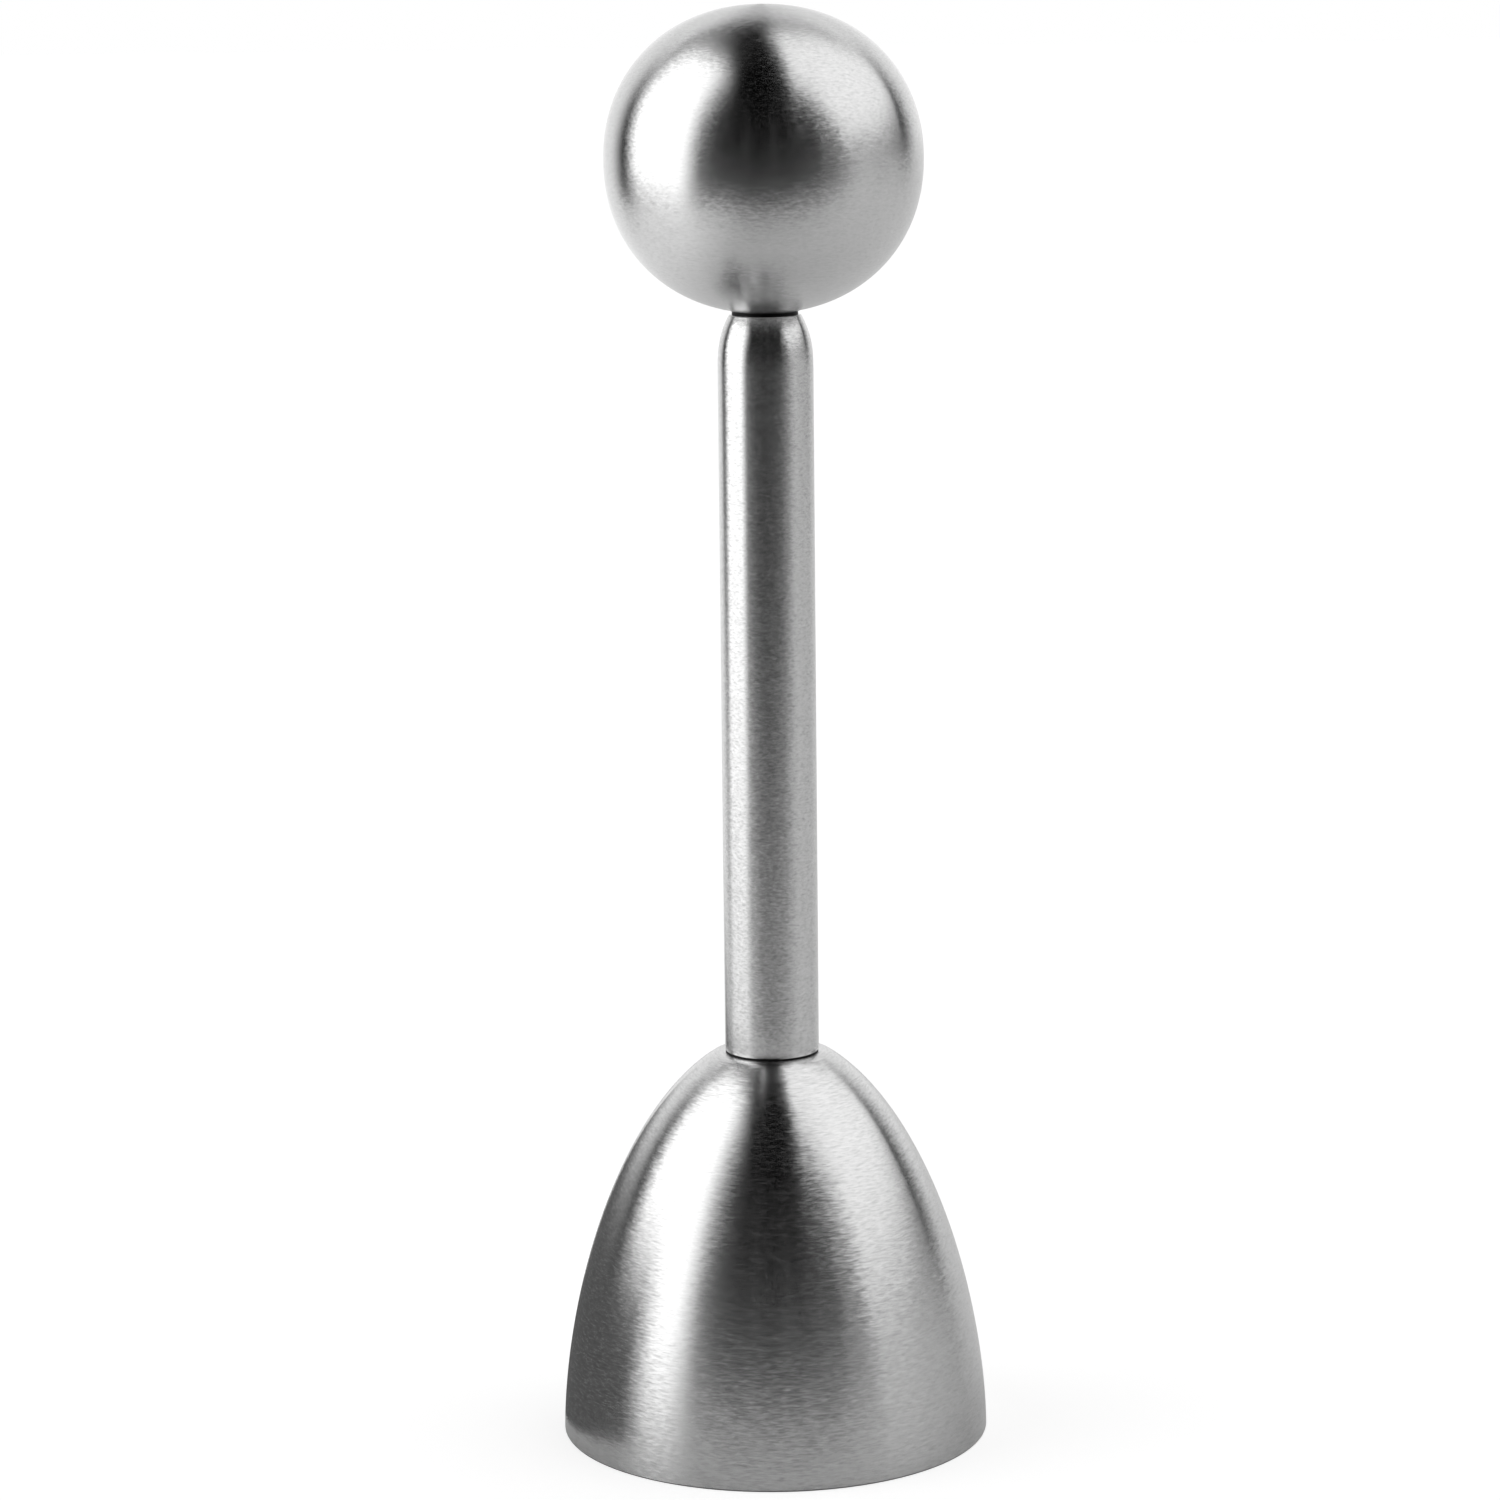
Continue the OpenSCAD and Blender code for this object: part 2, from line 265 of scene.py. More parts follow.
def marks(tree, length, width, seed):
    """Noise from 0 to 1 in marks of this length and width, in metres, that run round Z. Height
    and radius are separate coordinates of it, so the marks stay rings where a piece curls over."""
    place = tree.nodes.new("ShaderNodeTexCoord").outputs["Object"]
    noise = tree.nodes.new("ShaderNodeTexNoise")
    noise.noise_dimensions = "4D"
    noise.inputs["Scale"].default_value = 1
    noise.inputs["Detail"].default_value = MARK_DETAIL
    noise.inputs["Roughness"].default_value = MARK_BREAKUP
    stretch = (1 / length, 1 / length, 1 / width)
    stretched = vector(tree, "MULTIPLY_ADD", place, stretch, (seed, seed, seed))
    tree.links.new(stretched, noise.inputs["Vector"])
    tree.links.new((from_axis(tree, place) / width).socket, noise.inputs["W"])
    return Quantity(tree, noise.outputs["Fac"])


def steel(name, tone, roughness, grain, length, width, sideways, lengthways, wear, haze):
    """Stainless steel worked round Z. grain is how strongly the finish streaks its gloss. The
    marks have this length and width in metres. They tilt the skin by about lengthways degrees up
    its slope and sideways degrees round Z, the second at MARK_RADIUS and in proportion to the
    distance from the axis. haze is how much they lighten and darken the steel, and how much of
    the light ones is torn matt. wear is how much the gloss varies in patches from handling."""
    material = bpy.data.materials.new(name)
    material.use_nodes = True
    tree = material.node_tree
    shader = tree.nodes["Principled BSDF"]
    shader.inputs["Anisotropic"].default_value = grain
    shader.inputs["Anisotropic Rotation"].default_value = 0.25

    tangent = tree.nodes.new("ShaderNodeTangent")
    tangent.direction_type = "RADIAL"
    tangent.axis = "Z"
    round_axis = tangent.outputs[0]
    tree.links.new(round_axis, shader.inputs["Tangent"])

    normal = tree.nodes.new("ShaderNodeNewGeometry").outputs["Normal"]
    up_skin = vector(tree, "CROSS_PRODUCT", normal, round_axis)
    fine = marks(tree, length, width, FINE_SEED)
    crossing = marks(tree, length, width, CROSSING_SEED)
    broad = marks(tree, length * BROAD_LENGTH, width * BROAD_WIDTH, BROAD_SEED)
    broad = (broad - 0.5) * BROAD_SHARE
    place = tree.nodes.new("ShaderNodeTexCoord").outputs["Object"]
    round_swing = from_axis(tree, place) * (sideways / MARK_RADIUS)
    bent = normal
    for along, slope, swing in (
        (round_axis, fine, round_swing), (up_skin, crossing, lengthways)
    ):
        push = (slope + broad - 0.5) * swing * (math.radians(1) / MARK_SPREAD)
        bent = vector(tree, "ADD", bent, vector(tree, "SCALE", along, push))
    tree.links.new(vector(tree, "NORMALIZE", bent), shader.inputs["Normal"])

    patches = tree.nodes.new("ShaderNodeTexNoise")
    patches.inputs["Scale"].default_value = PATCH_SCALE
    patches.inputs["Detail"].default_value = PATCH_DETAIL
    tree.links.new(place, patches.inputs["Vector"])
    gloss = (Quantity(tree, patches.outputs["Fac"]) - 0.5) * (wear * 2)
    gloss = gloss + (crossing - 0.5) * CROSSING_GLOSS + roughness
    tree.links.new(gloss.socket, shader.inputs["Roughness"])
    shade = (fine - 0.5) * (haze * 2) + 1
    shaded = vector(tree, "SCALE", (tone, tone, tone), shade)
    tree.links.new(shaded, shader.inputs["Base Color"])
    torn = (fine - 0.5).at_least(0) * haze
    tree.links.new((1 - torn).socket, shader.inputs["Metallic"])
    return material


brushed_bell = steel(
    "brushed_bell", tone=0.615, roughness=0.221, grain=0.985, length=0.8 * MM, width=0.16 * MM,
    sideways=0.6, lengthways=1.3, wear=0.02, haze=0.33,
)
# The rim's outer edge is painted darker than the bell: painted shade for the thin dark line of
# contact shadow along the rim in the photograph.
rim_break = steel(
    "rim_break", tone=0.2, roughness=0.35, grain=0.5, length=0.9 * MM, width=0.14 * MM,
    sideways=0.32, lengthways=1.3, wear=0.02, haze=0.1,
)
satin_inside = steel(
    "satin_inside", tone=0.52, roughness=0.36, grain=0.8, length=1.5 * MM, width=0.2 * MM,
    sideways=1.5, lengthways=4, wear=0.08, haze=0.3,
)

bell_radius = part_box("bell_cup")[1].x
bell_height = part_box("bell_cup")[1].z
seat_turn, flat_turn = (
    math.acos((radius / bell_radius) ** (BELL_ACROSS / 2)) for radius in (BELL_SEAT, BELL_FLAT)
)
bell_apex = bell_height / math.sin(seat_turn) ** (2 / BELL_UP)

tree, size = geometry_tree(
    "drawn_bell", "Radius", "Height", "Apex", "Across", "Up", "Turn", "Blend", "Wall", "Edge",
    "Land", "Hole"
)


def bell_dome(v):
    rise = v * size["Turn"]
    radius = size["Radius"] * rise.cos() ** (2 / size["Across"])
    return radius, size["Apex"] * rise.sin() ** (2 / size["Up"])


def bell_outside(v, turn):
    radius, height = bell_dome(v)
    height = calculate(tree, "SMOOTH_MIN", height, size["Height"], size["Blend"])
    return radius, height.at_least(size["Edge"])


def bell_inside(v, turn):
    radius, height = bell_dome(v)
    out = size["Across"] * (radius / size["Radius"]) ** (size["Across"] - 1) / size["Radius"]
    up = size["Up"] * (height / size["Apex"]) ** (size["Up"] - 1) / size["Apex"]
    steepness = (out * out + up * up) ** 0.5
    height = (height - size["Wall"] * up / steepness).at_least(size["Edge"])
    land = (size["Radius"] - size["Wall"]) * (size["Land"].above(height))
    radius = (radius - size["Wall"] * out / steepness).at_least(land)
    return radius, height.at_most(size["Height"] - size["Wall"])


def rim_outer_edge(v, turn):
    bend = v * (math.pi / 2)
    return size["Radius"] - size["Edge"] * (1 - bend.cos()), size["Edge"] * (1 - bend.sin())


def rim_face(v, turn):
    return size["Radius"] - size["Edge"] - v * (size["Wall"] - size["Edge"] * 2), v * 0


def rim_inner_edge(v, turn):
    bend = v * (math.pi / 2)
    radius = size["Radius"] - size["Wall"] + size["Edge"] * (1 - bend.sin())
    return radius, size["Edge"] * (1 - bend.cos())


def bell_ceiling(v, turn):
    edge, height = bell_inside(v * 0 + 1, turn)
    return edge + (size["Hole"] - edge) * v, height


def bell_hole(v, turn):
    return size["Hole"] + v * 0, size["Height"] - size["Wall"] * (1 - v)


def bell_seat(v, turn):
    edge, height = bell_outside(v * 0 + 1, turn)
    return size["Hole"] + (edge - size["Hole"]) * v, height


finish_tree(tree, [
    turned(tree, bell_outside, along=DOME_ROWS),
    # the rim's outer edge, marked for its painted shade
    turned(tree, rim_outer_edge, along=EDGE_ROWS, mark="rim"),
    turned(tree, rim_face),
    turned(tree, rim_inner_edge, along=EDGE_ROWS),
    turned(tree, bell_inside, along=DOME_ROWS, mark="inside"),
    turned(tree, bell_ceiling, along=2, mark="inside"),
    turned(tree, bell_hole, mark="inside"),
    turned(tree, bell_seat, along=2),
], brushed_bell, {"inside": satin_inside, "rim": rim_break})
bell = grow("bell", tree, {
    "Radius": bell_radius, "Height": bell_height, "Apex": bell_apex, "Across": BELL_ACROSS,
    "Up": BELL_UP, "Turn": flat_turn, "Blend": SEAT_BLEND, "Wall": BELL_WALL, "Edge": RIM_EDGE,
    "Land": BELL_LAND, "Hole": BELL_HOLE,
})
join_frame(bell, "cup_and_handle", "brushed", "bell_cup")


# ---------------------------------------------------------------------------------------------
# The fixing screw holds bell and handle together from inside the bell: a stainless M3 button
# head with a hexagon socket, over a split washer and a flat washer. Cold headed, with a rolled
# thread that screws into the plug.

SCREW_LAND = 1.6 * MM        # radius of the flat round the socket
SCREW_SOCKET = 1.0 * MM      # from the socket's axis to its flats
SCREW_SOCKET_DEPTH = 1.1 * MM
SOCKET_CONE = 0.15           # how much deeper the socket's middle is, as a share
SCREW_HEAD = 1.65 * MM
SCREW_RADIUS = 1.5 * MM
THREAD_PITCH = 0.5 * MM
THREAD_DEPTH = 0.28 * MM
THREAD_ROWS = 8              # faces along one pitch
THREAD_SIDES = 48            # and round one turn


def hexagon(flats, turn):
    """Radius of a hexagon at an angle, where flats is the distance from its axis to a flat."""
    sixth = math.pi / 6
    return flats / calculate(turn.tree, "WRAP", turn, sixth, -sixth).cos()


def thread_groove(height, turn):
    """How deep a rolled thread cuts in, from 0 at its crest to 1 at its root."""
    along = height / THREAD_PITCH - turn / (2 * math.pi)
    return calculate(turn.tree, "PINGPONG", along, 0.5) * 2


turned_steel = steel(
    "turned_steel", tone=0.56, roughness=0.24, grain=0.7, length=4 * MM, width=0.12 * MM,
    sideways=1.5, lengthways=3, wear=0.03, haze=0.2,
)

screw_low, screw_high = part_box("base_screw")
tree, size = geometry_tree(
    "button_screw", "Low", "Top", "Head", "Head radius", "Land", "Socket", "Depth", "Radius",
    "Groove"
)


def screw_shank(v, turn):
    length = size["Top"] - size["Low"] - size["Head"]
    height = size["Top"] - length * (1 - v)
    fade = (v * length / THREAD_PITCH).at_most(1)
    tip = size["Top"] - height + size["Radius"] - size["Groove"]
    radius = size["Radius"] - size["Groove"] * thread_groove(height, turn) * fade
    return radius.at_most(tip), height


def screw_tip(v, turn):
    edge, height = screw_shank(v * 0 + 1, turn)
    return edge * (1 - v), height


def head_underside(v, turn):
    radius = size["Radius"] + (size["Head radius"] - size["Radius"]) * v
    return radius, size["Low"] + size["Head"] + v * 0


def head_dome(v, turn):
    bend = v * (math.pi / 2)
    reach = size["Head radius"] - size["Land"]
    return size["Land"] + reach * bend.cos(), size["Low"] + size["Head"] * (1 - bend.sin())


def head_flat(v, turn):
    socket = hexagon(size["Socket"], turn)
    return size["Land"] + (socket - size["Land"]) * v, size["Low"] + v * 0


def socket_wall(v, turn):
    return hexagon(size["Socket"], turn), size["Low"] + size["Depth"] * v


def socket_floor(v, turn):
    height = size["Low"] + size["Depth"] * (v * SOCKET_CONE + 1)
    return hexagon(size["Socket"], turn) * (1 - v), height


screw_rows = round((screw_high.z - screw_low.z - SCREW_HEAD) / THREAD_PITCH) * THREAD_ROWS
finish_tree(tree, [
    turned(tree, screw_shank, along=screw_rows, around=THREAD_SIDES),
    turned(tree, screw_tip, around=THREAD_SIDES),
    turned(tree, head_underside, around=THREAD_SIDES),
    turned(tree, head_dome, along=12, around=THREAD_SIDES),
    turned(tree, head_flat, around=THREAD_SIDES),
    turned(tree, socket_wall, around=THREAD_SIDES),
    turned(tree, socket_floor, around=THREAD_SIDES),
], turned_steel)
screw = grow("fixing_screw", tree, {
    "Low": screw_low.z, "Top": screw_high.z, "Head": SCREW_HEAD, "Head radius": screw_high.x,
    "Land": SCREW_LAND, "Socket": SCREW_SOCKET, "Depth": SCREW_SOCKET_DEPTH,
    "Radius": SCREW_RADIUS, "Groove": THREAD_DEPTH,
})
join_frame(screw, "cup_and_handle", "bright", "base_screw")


def coat(finish, *nodes):
    """Gives these CAD nodes, whose shape is right as it is, this finish."""
    for name in nodes:
        piece = frame["nodes"][name]
        piece.data.materials.clear()
        piece.data.materials.append(finish)


coat(turned_steel, "base_washer", "split_washer")


# ---------------------------------------------------------------------------------------------
# The seal ring is stamped from black rubber sheet. It keeps water out of the tube and shows as
# a fine black line between tube and bell. The plug above it is turned from bar and pressed into
# the tube's foot, where it takes the striker's blow.

BLACK_SHINE = 0.15       # specular level, low because the surface is dull and pitted
GRAIN_DETAIL = 4
GRAIN_DEPTH = 0.4        # strength of the bump
GRAIN_GLOSS = 0.3        # how much the gloss varies with the grain


def moulded_black(name, tone, roughness, grain, height):
    """Black rubber or plastic with a fine dull grain. grain is the noise's scale, and height
    that of its bumps in metres."""
    material = bpy.data.materials.new(name)
    material.use_nodes = True
    tree = material.node_tree
    shader = tree.nodes["Principled BSDF"]
    shader.inputs["Base Color"].default_value = (tone, tone, tone, 1)
    shader.inputs["Specular IOR Level"].default_value = BLACK_SHINE
    noise = tree.nodes.new("ShaderNodeTexNoise")
    noise.inputs["Scale"].default_value = grain
    noise.inputs["Detail"].default_value = GRAIN_DETAIL
    tree.links.new(tree.nodes.new("ShaderNodeTexCoord").outputs["Object"], noise.inputs["Vector"])
    bump = tree.nodes.new("ShaderNodeBump")
    bump.inputs["Strength"].default_value = GRAIN_DEPTH
    bump.inputs["Distance"].default_value = height
    tree.links.new(noise.outputs["Fac"], bump.inputs["Height"])
    tree.links.new(bump.outputs[0], shader.inputs["Normal"])
    gloss = (Quantity(tree, noise.outputs["Fac"]) - 0.5) * GRAIN_GLOSS + roughness
    tree.links.new(gloss.socket, shader.inputs["Roughness"])
    return material


black_rubber = moulded_black(
    "black_rubber", tone=0.003, roughness=0.6, grain=6000, height=0.02 * MM
)
coat(black_rubber, "seal_ring")
coat(turned_steel, "end_plug")


# ---------------------------------------------------------------------------------------------
# The handle is a length of stainless tube. Its top end is swaged in to a smaller mouth, both
# ends are deburred, and it is brushed round its axis like the bell.

TUBE_WALL = 0.8 * MM
TUBE_NOSE = 5.0 * MM
TUBE_MOUTH = 3.2 * MM
TUBE_CURL = 2.65         # how late the nose curls in
TUBE_EDGE = 0.12 * MM
TUBE_BITE = 0.1 * MM     # how far its foot is pressed into the seal
TUBE_EDGE_ROWS = 4

brushed_tube = steel(
    "brushed_tube", tone=0.615, roughness=0.21, grain=1, length=0.4 * MM, width=0.18 * MM,
    sideways=1.3, lengthways=0.9, wear=0.02, haze=0.45,
)

tree, size = geometry_tree(
    "swaged_tube", "Radius", "Wall", "Foot", "Top", "Nose", "Mouth", "Curl", "Edge"
)


def nose_radius(radius, height):
    rise = ((height - size["Top"] + size["Nose"]) / size["Nose"]).at_least(0)
    return radius - (size["Radius"] - size["Mouth"]) * rise ** size["Curl"]


def tube_foot_edge(v, turn):
    bend = v * (math.pi / 2)
    radius = size["Radius"] - size["Edge"] * (1 - bend.sin())
    return radius, size["Foot"] + size["Edge"] * (1 - bend.cos())


def tube_body(v, turn):
    low = size["Foot"] + size["Edge"]
    return size["Radius"] + v * 0, low + (size["Top"] - size["Nose"] - low) * v


def tube_nose(v, turn):
    height = size["Top"] - size["Nose"] + (size["Nose"] - size["Edge"]) * v
    return nose_radius(size["Radius"], height), height


def tube_mouth_edge(v, turn):
    wide, height = tube_nose(v * 0 + 1, turn)
    bend = v * (math.pi / 2)
    narrow = size["Mouth"] - size["Edge"]
    return narrow + (wide - narrow) * bend.cos(), size["Top"] - size["Edge"] * (1 - bend.sin())


def tube_mouth(v, turn):
    outer = size["Mouth"] - size["Edge"]
    return outer - (size["Wall"] - size["Edge"]) * v, size["Top"] + v * 0


def tube_throat(v, turn):
    height = size["Top"] - size["Nose"] * v
    return nose_radius(size["Radius"] - size["Wall"], height), height


def tube_bore(v, turn):
    height = size["Top"] - size["Nose"]
    return size["Radius"] - size["Wall"] + v * 0, height + (size["Foot"] - height) * v


def tube_foot(v, turn):
    inner = size["Radius"] - size["Wall"]
    return inner + (size["Wall"] - size["Edge"]) * v, size["Foot"] + v * 0


finish_tree(tree, [
    turned(tree, tube_foot_edge, along=TUBE_EDGE_ROWS),
    turned(tree, tube_body, along=24),
    turned(tree, tube_nose, along=48),
    turned(tree, tube_mouth_edge, along=TUBE_EDGE_ROWS),
    turned(tree, tube_mouth),
    turned(tree, tube_throat, along=16),
    turned(tree, tube_bore, along=8),
    turned(tree, tube_foot),
], brushed_tube)
tube_low, tube_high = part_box("handle_tube")
tube = grow("handle_tube_skin", tree, {
    "Radius": tube_high.x, "Wall": TUBE_WALL, "Foot": tube_low.z - TUBE_BITE, "Top": tube_high.z,
    "Nose": TUBE_NOSE, "Mouth": TUBE_MOUTH, "Curl": TUBE_CURL, "Edge": TUBE_EDGE,
})
join_frame(tube, "cup_and_handle", "brushed", "handle_tube")


# ---------------------------------------------------------------------------------------------
# The guide bush is turned from black nylon, and the tube's nose is swaged in over it. It guides
# the rod, and its flange on the tube's mouth is the black line under the ball. A steel washer
# spreads the spring's load on the bush, and a second one lies on the lock nut.

black_nylon = moulded_black(
    "black_nylon", tone=0.003, roughness=0.5, grain=3000, height=0.01 * MM
)
coat(black_nylon, "guide_bush")
coat(turned_steel, "upper_spring_washer", "lower_spring_washer")


# ---------------------------------------------------------------------------------------------
# The return spring is cold coiled from 0.6 mm stainless wire, with its end turns closed up. It
# stands between the two washers. A pull of the ball would squeeze it. Here the coil keeps its
# resting length, and how far it would be squeezed is worked out but not applied.

WIRE = 0.6 * MM
WIRE_SIDES = 12
SPRING_RADIUS = 2.7 * MM      # to the middle of the wire
SPRING_TURNS = 20
SPRING_GAP = 0.45 * MM        # between the end turns
SPRING_RINGS = 24             # points in one turn of the wire
SPRING_CLEAR = 0.02 * MM      # between the spring and the washer under it
SPRING_COLOUR = (0.42, 0.42, 0.43)
DRAWN_SCALE = 4000            # of the marks that the drawing die leaves
DRAWN_GLOSS = (0.15, 0.3)     # least roughness, and how much the marks add

tree, size = geometry_tree("return_spring", "Radius", "Foot", "Rise", "Turns", "End pitch", "Wire")
line = tree.nodes.new("GeometryNodeCurvePrimitiveLine")
resample = tree.nodes.new("GeometryNodeResampleCurve")
resample.inputs["Count"].default_value = SPRING_TURNS * SPRING_RINGS + 1
tree.links.new(line.outputs["Curve"], resample.inputs["Curve"])
share = Quantity(tree, tree.nodes.new("GeometryNodeSplineParameter").outputs["Factor"])
turns = share * size["Turns"]
middle = (size["Rise"] - size["End pitch"] * 2) / (size["Turns"] - 2)
height = (
    size["Foot"]
    + size["End pitch"] * turns.at_most(1)
    + middle * (turns - 1).at_least(0).at_most(size["Turns"] - 2)
    + size["End pitch"] * (turns - size["Turns"] + 1).at_least(0)
)
angle = turns * (2 * math.pi)
point = tree.nodes.new("ShaderNodeCombineXYZ")
coiled = (size["Radius"] * angle.cos(), size["Radius"] * angle.sin(), height)
for slot, value in zip(point.inputs, coiled):
    tree.links.new(value.socket, slot)
coil = tree.nodes.new("GeometryNodeSetPosition")
tree.links.new(resample.outputs["Curve"], coil.inputs["Geometry"])
tree.links.new(point.outputs[0], coil.inputs["Position"])
section = tree.nodes.new("GeometryNodeCurvePrimitiveCircle")
section.inputs["Resolution"].default_value = WIRE_SIDES
tree.links.new((size["Wire"] / 2).socket, section.inputs["Radius"])
wire = tree.nodes.new("GeometryNodeCurveToMesh")
wire.inputs["Fill Caps"].default_value = True
tree.links.new(coil.outputs["Geometry"], wire.inputs["Curve"])
tree.links.new(section.outputs["Curve"], wire.inputs["Profile Curve"])

spring_steel = bpy.data.materials.new("spring_steel")
spring_steel.use_nodes = True
finish = spring_steel.node_tree
shader = finish.nodes["Principled BSDF"]
shader.inputs["Metallic"].default_value = 1
shader.inputs["Base Color"].default_value = (*SPRING_COLOUR, 1)
drawn = finish.nodes.new("ShaderNodeTexNoise")
drawn.inputs["Scale"].default_value = DRAWN_SCALE
place = finish.nodes.new("ShaderNodeTexCoord").outputs["Object"]
finish.links.new(place, drawn.inputs["Vector"])
gloss = Quantity(finish, drawn.outputs["Fac"]) * DRAWN_GLOSS[1] + DRAWN_GLOSS[0]
finish.links.new(gloss.socket, shader.inputs["Roughness"])

finish_tree(tree, [wire.outputs["Mesh"]], spring_steel)
spring_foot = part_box("lower_spring_washer")[1].z + SPRING_CLEAR
spring_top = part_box("upper_spring_washer")[0].z
spring = grow("coil_spring", tree, {
    "Radius": SPRING_RADIUS, "Foot": spring_foot + WIRE / 2,
    "Rise": spring_top - spring_foot - WIRE, "Turns": SPRING_TURNS,
    "End pitch": WIRE + SPRING_GAP, "Wire": WIRE,
})
join_frame(spring, "cup_and_handle", "spring", "return_spring")
pull = next(joint for joint in frame["joints"] if joint["name"] == "ball_pull")
squeezed = 1 - pull["range_m"][1] / (spring_top - spring_foot)
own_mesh(spring)


# ---------------------------------------------------------------------------------------------
# The striker is a slug turned from bar. The rod screws into its top and is locked by an M3 nut,
# and the rod's other end screws into the ball. Both of the rod's threads are rolled.

NUT_FLATS = 2.75 * MM        # from the nut's axis to its flats
NUT_FACE = 0.95              # radius of its round faces, as a share of that
NUT_SIDES = 96
NUT_HOLE = 1.52 * MM
ROD_LOWER_THREAD = 13.0 * MM
ROD_UPPER_THREAD = 6.0 * MM
ROD_TIP = 0.3 * MM

coat(turned_steel, "striker")

tree, size = geometry_tree("lock_nut", "Foot", "Height", "Flats", "Hole", "Groove")


def nut_side(v, turn):
    rise = size["Height"] * v
    face = size["Flats"] * NUT_FACE
    chamfer = (rise.at_most(size["Height"] - rise)) * math.sqrt(3) + face
    return hexagon(size["Flats"], turn).at_most(chamfer), size["Foot"] + rise


def nut_foot(v, turn):
    face = size["Flats"] * NUT_FACE
    return face + (size["Hole"] - face) * v, size["Foot"] + v * 0


def nut_top(v, turn):
    radius, height = nut_foot(v, turn)
    return radius, height + size["Height"]


def nut_thread(v, turn):
    height = size["Foot"] + size["Height"] * v
    edge = ((v.at_most(1 - v)) * size["Height"] / THREAD_PITCH).at_most(1)
    return size["Hole"] - size["Groove"] * thread_groove(height, turn) * edge, height


nut_low, nut_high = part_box("lock_nut")
finish_tree(tree, [
    turned(tree, nut_side, along=24, around=NUT_SIDES),
    turned(tree, nut_foot, around=NUT_SIDES),
    turned(tree, nut_top, around=NUT_SIDES),
    turned(tree, nut_thread, along=32, around=NUT_SIDES),
], turned_steel)
nut = grow("lock_nut_skin", tree, {
    "Foot": nut_low.z, "Height": nut_high.z - nut_low.z, "Flats": NUT_FLATS, "Hole": NUT_HOLE,
    "Groove": THREAD_DEPTH,
})
join_frame(nut, "plunger", "bright", "lock_nut")

tree, size = geometry_tree(
    "pull_rod", "Radius", "Foot", "Top", "Lower thread", "Upper thread", "Groove", "Tip"
)


def rod_lower_thread(v, turn):
    height = size["Foot"] + size["Lower thread"] * v
    runout = ((1 - v) * size["Lower thread"] / THREAD_PITCH).at_most(1)
    radius = size["Radius"] - size["Groove"] * thread_groove(height, turn) * runout
    return radius.at_most(height - size["Foot"] + size["Radius"] - size["Tip"]), height


def rod_shank(v, turn):
    low = size["Foot"] + size["Lower thread"]
    return size["Radius"] + v * 0, low + (size["Top"] - size["Upper thread"] - low) * v


def rod_upper_thread(v, turn):
    height = size["Top"] - size["Upper thread"] * (1 - v)
    runout = (v * size["Upper thread"] / THREAD_PITCH).at_most(1)
    radius = size["Radius"] - size["Groove"] * thread_groove(height, turn) * runout
    return radius.at_most(size["Top"] - height + size["Radius"] - size["Tip"]), height


def rod_foot(v, turn):
    edge, height = rod_lower_thread(v * 0, turn)
    return edge * v, height


def rod_top(v, turn):
    edge, height = rod_upper_thread(v * 0 + 1, turn)
    return edge * (1 - v), height


rod_low, rod_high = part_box("pull_rod")
lower_rows, upper_rows = (
    round(length / THREAD_PITCH) * THREAD_ROWS for length in (ROD_LOWER_THREAD, ROD_UPPER_THREAD)
)
finish_tree(tree, [
    turned(tree, rod_foot, around=THREAD_SIDES),
    turned(tree, rod_lower_thread, along=lower_rows, around=THREAD_SIDES),
    turned(tree, rod_shank, along=4, around=THREAD_SIDES),
    turned(tree, rod_upper_thread, along=upper_rows, around=THREAD_SIDES),
    turned(tree, rod_top, around=THREAD_SIDES),
], turned_steel)
rod = grow("pull_rod_skin", tree, {
    "Radius": rod_high.x, "Foot": rod_low.z, "Top": rod_high.z, "Lower thread": ROD_LOWER_THREAD,
    "Upper thread": ROD_UPPER_THREAD, "Groove": THREAD_DEPTH, "Tip": ROD_TIP,
})
join_frame(rod, "plunger", "bright", "pull_rod")


# ---------------------------------------------------------------------------------------------
# The ball is pressed in two half shells of 1 mm stainless sheet, lapped at the equator, welded,
# ground flush and brushed round its axis until no seam shows. A turned insert is welded into
# the lower half; its collar is the low neck over the tube, and the rod screws into it.

BALL_WALL = 1.0 * MM
BALL_ROUND = 2.12        # roundness of the outline, where 2 is an ellipse
BALL_HALF = 13.55 * MM   # half the height of the whole outline
BALL_MOUTH = 2.9 * MM
COLLAR_RIM = 3.3 * MM
COLLAR_RISE = 0.1 * MM   # the collar's side that shows
COLLAR_SUNK = 0.2 * MM   # and its part inside the ball's skin
COLLAR_TAPER = 0.2 * MM
INSERT_RADIUS = 2.85 * MM
INSERT_HOLE = 1.52 * MM
INSERT_FLOOR = 1.5 * MM

ball_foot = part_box("ball_insert")[0].z
ball_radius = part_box("ball_lower_shell")[1].x
ball_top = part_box("ball_upper_shell")[1].z
brushed_ball = steel(
    "brushed_ball", tone=0.615, roughness=0.221, grain=0.985, length=0.45 * MM, width=0.17 * MM,
    sideways=0.45, lengthways=1.1, wear=0.02, haze=0.25,
)

tree, size = geometry_tree(
    "welded_ball", "Radius", "Half height", "Centre", "Round", "Wall", "Mouth", "Rim", "Face"
)


def ball_skin(v, rim, inset):
    """The ball's outline, from the ring of radius rim at its foot to its top pole. inset is how
    far inside the outer skin it runs."""
    radius = size["Radius"] - inset
    half = size["Half height"] - inset
    start = calculate(tree, "ARCCOSINE", (rim / radius) ** (size["Round"] / 2))
    rise = v * (start + math.pi / 2) - start
    sine = rise.sin()
    side = calculate(tree, "SIGN", sine)
    lift = calculate(tree, "ABSOLUTE", sine) ** (2 / size["Round"])
    reach = rise.cos().at_least(0) ** (2 / size["Round"])
    return radius * reach, size["Centre"] + half * side * lift


def ball_outside(v, turn):
    return ball_skin(v, size["Rim"], v * 0)


